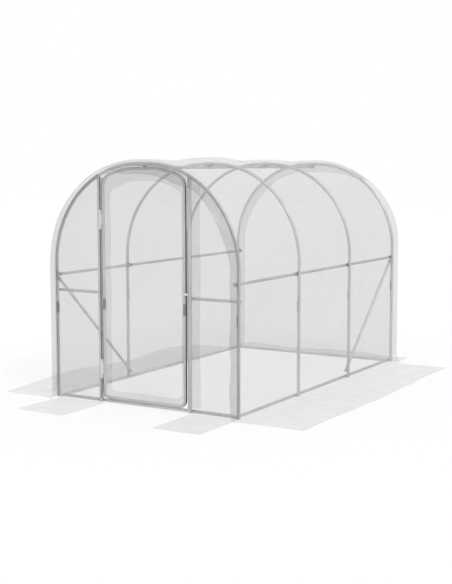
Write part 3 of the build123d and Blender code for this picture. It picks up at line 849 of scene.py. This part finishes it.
def skirt_sheet(name, wave, outward):
    """Flat grid over a skirt's box, its outer edge moved by a wave that grows outwards."""
    low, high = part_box(name)
    xs = np.linspace(low.x, high.x, 41)[:, None]
    share = np.linspace(0, 1, 25)[None, :]
    inner, outer = (high.y, low.y) if outward < 0 else (low.y, high.y)
    tall, waves, start, shift = wave
    moved = tall * np.sin(waves * xs + start) + shift
    ys = inner + (outer - inner) * share + outward * moved * share**SKIRT_CURVE
    points = np.stack(np.broadcast_arrays(xs, ys, GROUND_Z), axis=-1)[::-outward]
    sheet = film_piece(f"{name}_film", points, grid_quads(*points.shape[:2]), "tunnel", [name])
    print(f"{sheet.name} laid")


skirt_sheet("front_left_skirt", FRONT_WAVE, -1)
skirt_sheet("front_right_skirt", FRONT_WAVE, -1)
skirt_sheet("back_skirt", BACK_WAVE, 1)

# %% [markdown]
# ## The door's film
# The door's film covers the bent tube, goes round its outer side and hangs inside as a hem.
# Its outline is the tube's own line, so the front is filled row by row across that line,
# and the hem is a profile carried all the way round it. Both share the outline's points,
# which are merged into one sheet.

# %% The door's outline
DOOR_R = (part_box("door_frame_lower")[1].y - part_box("door_frame_lower")[0].y) / 2
STILE_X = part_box("door_frame_lower")[1].x - DOOR_R
DOOR_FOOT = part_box("door_frame_lower")[0].z + DOOR_R
DOOR_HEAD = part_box("door_frame_upper")[1].z - DOOR_R
DOOR_BEND = DOOR_HEAD - SPRING_Z
FOOT_ROUND = 0.055
HEAD_ROUND = 0.105


def arched_outline(half, foot, foot_round, centre_z, bend, head_round):
    """Right half of an arched outline from its foot to its crown, with the outward direction.

    A round at the foot, a straight side, a round at the shoulder, and an arc whose centre lies
    at the flat crown's end.
    """
    round_x = half - head_round
    round_z = centre_z + np.sqrt((bend - head_round) ** 2 - (round_x - CROWN_X) ** 2)
    meet = np.arctan2(round_z - centre_z, round_x - CROWN_X)
    foot_turn = np.linspace(-np.pi / 2, 0, 13)
    side_z = np.linspace(foot + foot_round, round_z, 49)[1:-1]
    head_turn = np.linspace(0, meet, 13)
    arch_turn = np.linspace(meet, np.pi / 2, 25)[1:]
    turn = np.concatenate([foot_turn, np.zeros_like(side_z), head_turn, arch_turn])
    x = np.concatenate([
        half - foot_round + foot_round * np.cos(foot_turn),
        np.full_like(side_z, half),
        round_x + head_round * np.cos(head_turn),
        CROWN_X + bend * np.cos(arch_turn),
    ])
    z = np.concatenate([
        foot + foot_round + foot_round * np.sin(foot_turn),
        side_z,
        round_z + head_round * np.sin(head_turn),
        centre_z + bend * np.sin(arch_turn),
    ])
    return np.stack([x, z, np.cos(turn), np.sin(turn)], axis=1)


outline = arched_outline(STILE_X, DOOR_FOOT, FOOT_ROUND, SPRING_Z, DOOR_BEND, HEAD_ROUND)
print(f"door {2 * (STILE_X + DOOR_R):.3f} wide and {DOOR_HEAD + DOOR_R:.3f} high")

# %% Front of the door's film, row by row
DOOR_SET_OUT = 0.0156 + FILM / 2
DOOR_SLACK = 0.0012
SLACK_MEAN = 1.6
# Height, waves up, waves across and start of each ripple
DOOR_RIPPLES = ((1.0, 7.0, 5.0, 0.0), (0.6, 12.0, -9.0, 1.0))

row_share = np.linspace(-1, 1, 33)
face_x = outline[:, :1] * row_share
face_z = np.broadcast_to(outline[:, 1:2], face_x.shape)
height_share = np.clip((face_z - DOOR_FOOT) / (DOOR_HEAD - DOOR_FOOT), 0, 1)
slack = (1 - row_share**2) * np.sin(np.pi * height_share)
bulge = DOOR_SLACK * slack * (SLACK_MEAN + ripple_sum(DOOR_RIPPLES, face_z, face_x))
face_points = np.stack([face_x, FRONT - DOOR_SET_OUT - bulge, face_z], axis=-1)
print(f"door's front of {cut_area(face_points):.2f} square metres")

# %% Hem of the door's film, carried round the outline
DOOR_HEM = {
    "half": 0.35,
    "foot": 0.1,
    "foot_round": 0.05,
    "centre_z": 1.361,
    "bend": 0.5,
    "head_round": 0.07,
}
HEM_OFF = 0.03
HEAD_SET_OUT = DOOR_R + FILM
SIDE_GAIN = 1.2
ROUND_POINTS = 13
INNER_STEPS = 8
INNER_CURVE = 0.8
FLUTTER = 0.004
FLUTTERS = 9


def closed_loop(outline):
    """The whole loop of an outline: right side, crown, left side and foot, facing outwards."""
    between = row_share[1:-1]
    level = np.zeros_like(between)
    crown = [-outline[-1, 0] * between, level + outline[-1, 1], level, level + 1]
    foot = [outline[0, 0] * between, level + outline[0, 1], level, level - 1]
    mirrored = outline[::-1] * (-1, 1, -1, 1)
    return np.vstack([outline, np.stack(crown, axis=1), mirrored, np.stack(foot, axis=1)])


loop = closed_loop(outline)
reach_in = (closed_loop(arched_outline(**DOOR_HEM)) - loop)[:, :2]
round_turn = np.linspace(-np.pi / 2, np.pi / 2, ROUND_POINTS)
hem_share = np.linspace(0, 1, INNER_STEPS + 1)[1:]
side_share = smooth(np.abs(loop[:, 2:3]) * SIDE_GAIN)
set_out = HEAD_SET_OUT + (DOOR_SET_OUT - HEAD_SET_OUT) * side_share
outward = set_out * np.concatenate([np.cos(round_turn), np.zeros(INNER_STEPS)])
inward = np.concatenate([np.zeros(ROUND_POINTS), hem_share])
depth = np.concatenate([
    DOOR_SET_OUT * np.sin(round_turn),
    DOOR_SET_OUT + (HEM_OFF - DOOR_SET_OUT) * hem_share**INNER_CURVE,
])
loop_run = run_length(np.vstack([loop[:, :2], loop[:1, :2]]), 0)[:-1]
flutter = FLUTTER * np.sin(2 * np.pi * FLUTTERS * loop_run / loop_run[-1])[:, None] * inward
hem_points = np.stack([
    loop[:, :1] + loop[:, 2:3] * outward + reach_in[:, :1] * inward,
    FRONT + depth + flutter,
    loop[:, 1:2] + loop[:, 3:4] * outward + reach_in[:, 1:] * inward,
], axis=-1)
print(f"door's hem goes {loop_run[-1]:.2f} round")

# %% Painted shade at tight folds along the door's stiles
# Degrees round the tube where the painted fold shade begins and ends, and how far each takes
FOLD_SHADE_BEGINS = (-40, 14)
FOLD_SHADE_ENDS = (50, 30)
STILE_SIDE = (0.7, 0.3)

turn_degrees = np.degrees(round_turn)
# Painted shade: the door film's wrap round each stile is darkened in the shaded gap by the post
round_fold_shade = soft_step(turn_degrees, *FOLD_SHADE_BEGINS) * (1 - soft_step(turn_degrees, *FOLD_SHADE_ENDS))
side_fold_shade = soft_step(np.abs(loop[:, 2]), *STILE_SIDE)
hem_fold_shade = np.concatenate([round_fold_shade, np.zeros(INNER_STEPS)])[:, None] * side_fold_shade
print(f"{np.count_nonzero(hem_fold_shade)} points lie in tight folds")

# %% Join the two grids into one sheet
face_quads = grid_quads(*face_points.shape[:2])[:, ::-1]
hem_quads = grid_quads(hem_points.shape[1], len(loop), ring=True)[:, ::-1] + face_x.size
door_points = np.vstack([
    face_points.reshape(-1, 3),
    hem_points.transpose(1, 0, 2).reshape(-1, 3),
])
door_film = film_piece(
    "door_film_sheet",
    door_points,
    np.vstack([face_quads, hem_quads]),
    "door",
    ["door_film", "door_film_hem"],
)
mark_fold_shade(door_film, np.concatenate([np.zeros(face_x.size), hem_fold_shade.ravel()]))
weld = door_film.modifiers.new("one sheet", "WELD")
weld.merge_threshold = FILM / 2
with bpy.context.temp_override(
    object=door_film, active_object=door_film, selected_objects=[door_film]
):
    bpy.ops.object.modifier_move_to_index(modifier="one sheet", index=0)
    bpy.ops.object.modifier_apply(modifier="one sheet")

# %% [markdown]
# ## Bolts
# The tubes are held by hexagon bolts with washers, one or two at each joint. A bolt head is
# turned like a pot: a profile goes round its axis, and where the head is hexagonal the radius
# swells towards the corners. All heads on one body are one mesh, made from one array of places.

# %% Bolt heads from one profile
BOLT_SINK = 0.0006
HEAD_ACROSS = 0.005
SHARP_ANGLE = 35
SAME_POINT = 1e-6
# Radius, height and share of the hexagon
BOLT_PROFILE = np.array([
    (0.0, 0.0, 0),
    (0.0062, 0.0, 0),
    (0.0062, 0.0016, 0),
    (HEAD_ACROSS, 0.0016, 1),
    (HEAD_ACROSS, 0.005, 1),
    (0.0044, 0.0056, 0),
    (0.0, 0.0056, 0),
])


def bolt_heads(name, places, axes, body):
    """Bolt heads turned round their axes.

    A hexagon's radius is its half width over the cosine of the turn from the nearest flat.
    """
    turn = np.linspace(0, 2 * np.pi, 24, endpoint=False)
    from_flat = np.mod(turn + np.pi / 6, np.pi / 3) - np.pi / 6
    radius, height, hexagon = (column[:, None] for column in BOLT_PROFILE.T)
    radius = radius * (1 + hexagon * (1 / np.cos(from_flat) - 1))
    places, axes = np.array(places, dtype=float), np.array(axes, dtype=float)
    axes = axes / np.linalg.norm(axes, axis=1, keepdims=True)
    first = np.cross(axes, (0.0, 0.0, 1.0))
    second = np.cross(axes, first)
    points = (
        places[:, None, None]
        + first[:, None, None] * (radius * np.cos(turn))[None, ..., None]
        + second[:, None, None] * (radius * np.sin(turn))[None, ..., None]
        + axes[:, None, None] * (height - BOLT_SINK)[None, ..., None]
    )
    one = grid_quads(*radius.shape, ring=True)[:, ::-1]
    quads = (one + np.arange(len(places))[:, None, None] * radius.size).reshape(-1, 4)
    heads = new_piece(name, points, quads, tube_zinc, body)
    shape = bmesh.new()
    shape.from_mesh(heads.data)
    bmesh.ops.remove_doubles(shape, verts=shape.verts, dist=SAME_POINT)
    shape.to_mesh(heads.data)
    shape.free()
    heads.data.set_sharp_from_angle(angle=np.radians(SHARP_ANGLE))
    print(f"{name}: {len(places)} heads")


# %% Bolts on the frame and on the door
SLEEVE_R = 0.0163
SLEEVE_BOLTS = (0.75, 0.81)
PURLIN_X = 0.8722
PURLIN_Z = 1.065
CLAMP_R = 0.0148
RAIL_X = 0.8717
RAIL_R = 0.0125
RAIL_END = 0.004
BRACE_X = 0.8602
BRACE_HEAD = 1.03
BRACE_FOOT = 0.058
BAR_BEHIND = 0.0378
BAR_Z = 0.929
BAR_BOLTS = (-0.898, -0.445, 0.445, 0.898)
COUPLER_BOLTS = (-0.036, 0.036)
DOOR_SLEEVE_R = 0.0153
DOOR_SLEEVE_BOLTS = (0.808, 0.868)
LATCH_ASIDE = 0.0065
LATCH_BEFORE = 0.0266
LATCH_Z = 0.965


def both_sides(x, ys, zs):
    """Places on both walls, each with its axis into the tunnel."""
    grid = [(side * x, y, z) for side in (-1, 1) for y in ys for z in zs]
    return grid, [(-np.sign(place[0]), 0, 0) for place in grid]


hoops = [FRONT + BAY * number for number in range(BAYS + 1)]
rail_ys = [FRONT - RAIL_END, *hoops[1:-1], BACK + RAIL_END]
groups = [
    both_sides(LEG_X - SLEEVE_R, hoops, SLEEVE_BOLTS),
    both_sides(PURLIN_X - CLAMP_R, hoops, (PURLIN_Z,)),
    both_sides(RAIL_X - RAIL_R, rail_ys, (RAIL_R,)),
]
for side, top, foot in ((-1, 0, 1), (1, 3, 2)):
    x = side * BRACE_X
    ends = [(x, hoops[top], BRACE_HEAD), (x, hoops[foot], BRACE_FOOT)]
    groups.append((ends, [(-side, 0, 0)] * 2))
groups.append(([(x, FRONT + BAR_BEHIND, BAR_Z) for x in BAR_BOLTS], [(0, 1, 0)] * 4))
for number, y in enumerate(hoops):
    side = 1 if number == 0 else -1
    pair = [(x, y + side * SLEEVE_R, CROWN_Z) for x in COUPLER_BOLTS]
    groups.append((pair, [(0, side, 0)] * 2))
bolt_heads(
    "frame_bolts",
    [place for places, _ in groups for place in places],
    [axis for _, axes in groups for axis in axes],
    "tunnel",
)
sleeve_places, sleeve_axes = both_sides(STILE_X - DOOR_SLEEVE_R, [FRONT], DOOR_SLEEVE_BOLTS)
bolt_heads(
    "door_bolts",
    sleeve_places + [(STILE_X + LATCH_ASIDE, FRONT - LATCH_BEFORE, LATCH_Z)],
    sleeve_axes + [(0, -1, 0)],
    "door",
)

# %% [markdown]
# ## Floor, light and background
# The floor and the world are plain and pale. They show white to the camera and in metal and
# film, while the light that falls on the tunnel stays at a plain level.

# %% White to the eye only


def seen_share(tree, strength):
    """The strength for rays from the camera, gloss or film, and nothing for the light itself."""
    path = tree.nodes.new("ShaderNodeLightPath").outputs
    first = add_math(tree, "MAXIMUM", path["Is Camera Ray"], path["Is Glossy Ray"])
    both = add_math(tree, "MAXIMUM", first, path["Is Transmission Ray"])
    return add_math(tree, "MULTIPLY", both, strength)


# %% Floor
WORLD_LIGHT = 0.85
SUN_LIGHT = 0.25
SUN_HIGH = 40.0
FLOOR_HALF = 40.0
FLOOR_DROP = 0.0005
FLOOR_GREY = 0.4
FLOOR_WHITE = 1.01
floor_lit = FLOOR_GREY * (WORLD_LIGHT + SUN_LIGHT * np.sin(np.radians(SUN_HIGH)))


def floor_finish():
    """Pale matt floor that also glows softly for what is seen of it, so that it reads white."""
    material, tree, shader = new_material("floor")
    shader.inputs["Base Color"].default_value = (FLOOR_GREY, FLOOR_GREY, FLOOR_GREY, 1)
    shader.inputs["Roughness"].default_value = 1.0
    shader.inputs["Specular IOR Level"].default_value = 0.0
    shader.inputs["Emission Color"].default_value = (1, 1, 1, 1)
    glow = seen_share(tree, FLOOR_WHITE - floor_lit)
    tree.links.new(glow, shader.inputs["Emission Strength"])
    return material


corner = np.array([(-1, -1, 0), (1, -1, 0), (1, 1, 0), (-1, 1, 0)]) * FLOOR_HALF
floor_mesh = bpy.data.meshes.new("floor")
floor_mesh.from_pydata((corner - (0, 0, FLOOR_DROP)).tolist(), [], [(0, 1, 2, 3)])
floor_mesh.materials.append(floor_finish())
floor = bpy.data.objects.new("floor", floor_mesh)
bpy.context.collection.objects.link(floor)
print(f"floor lit to {floor_lit:.2f}")

# %% World and lamp
SUN_ASIDE = 30.0
SUN_SOFT = 12.0
FILM_LAYERS = 32

world = bpy.data.worlds.new("studio")
world.use_nodes = True
bpy.context.scene.world = world
tree = world.node_tree
shade = tree.nodes["Background"]
shade.inputs["Color"].default_value = (1, 1, 1, 1)
total = add_math(tree, "ADD", seen_share(tree, 1.0 - WORLD_LIGHT), WORLD_LIGHT)
tree.links.new(total, shade.inputs["Strength"])

sun = bpy.data.objects.new("sun", bpy.data.lights.new("sun", "SUN"))
sun.data.energy = np.pi * SUN_LIGHT
sun.data.angle = np.radians(SUN_SOFT)
sun.rotation_euler = np.radians((90 - SUN_HIGH, 0, 90 - SUN_ASIDE))
bpy.context.collection.objects.link(sun)
bpy.context.scene.cycles.transparent_max_bounces = FILM_LAYERS
bpy.context.scene.view_settings.view_transform = "Standard"
print(f"sun {SUN_HIGH:.0f} degrees high")
